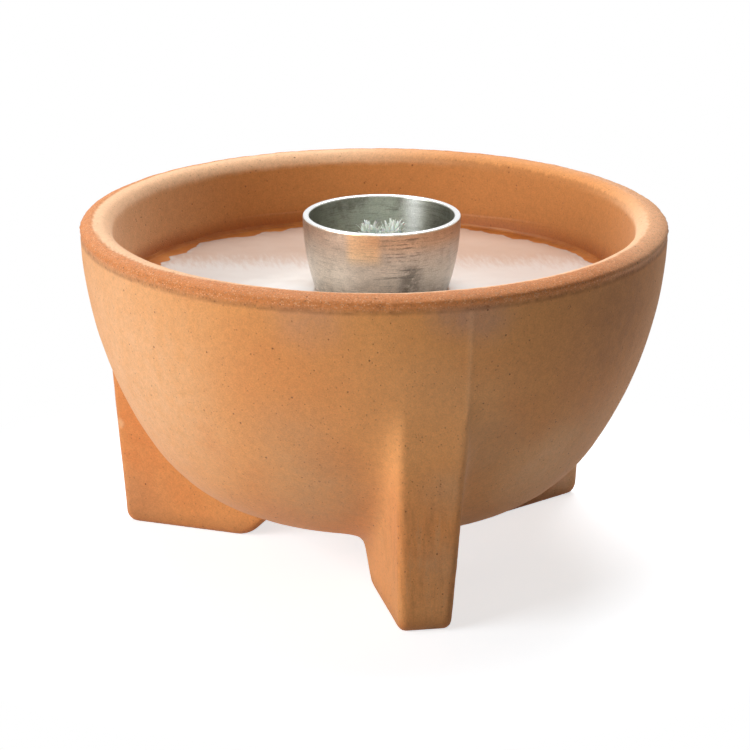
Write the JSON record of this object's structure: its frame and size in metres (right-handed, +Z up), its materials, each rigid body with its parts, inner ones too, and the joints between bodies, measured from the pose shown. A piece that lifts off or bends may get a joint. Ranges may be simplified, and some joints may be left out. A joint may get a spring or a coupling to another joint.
{
  "type": "garden wax burner bowl",
  "caption": "Round terracotta wax burner bowl on cast fin feet, filled with wax, with a lift-out aluminium burner cup that holds a glass-fibre wick bundle.",
  "frame": {"origin": "on the ground, on the bowl's axis", "axes": "+Z up along the bowl's axis; one foot points along -Y, which is the front"},
  "size_m": [0.2199, 0.22, 0.1303],
  "materials": {
    "terracotta": "unglazed, matte, slightly sandy",
    "wax": "paraffin wax, soft gloss, slightly translucent",
    "cup_aluminium": "turned and heat-stained, bright rim",
    "plate_steel": "plain",
    "wick_fibre": "glass-fibre cord, wax-soaked, frayed tips"
  },
  "bodies": {
    "bowl": {"bowl": "terracotta", "wax_fill": "wax"},
    "burner": {"burner_cup": "cup_aluminium", "wick_plate": "plate_steel", "wax_core": "wax"},
    "wick": {"wick_cord_1": "wick_fibre", "wick_cord_2": "wick_fibre", "wick_cord_3": "wick_fibre", "wick_cord_4": "wick_fibre", "wick_cord_5": "wick_fibre"}
  },
  "joints": [
    {"name": "burner_lift", "type": "slide", "parent": "bowl", "child": "burner", "axis": [0, 0, 1], "range_m": [0, 0.105]},
    {"name": "wick_lift", "type": "slide", "parent": "burner", "child": "wick", "axis": [0, 0, 1], "range_m": [0, 0.1]}
  ]
}
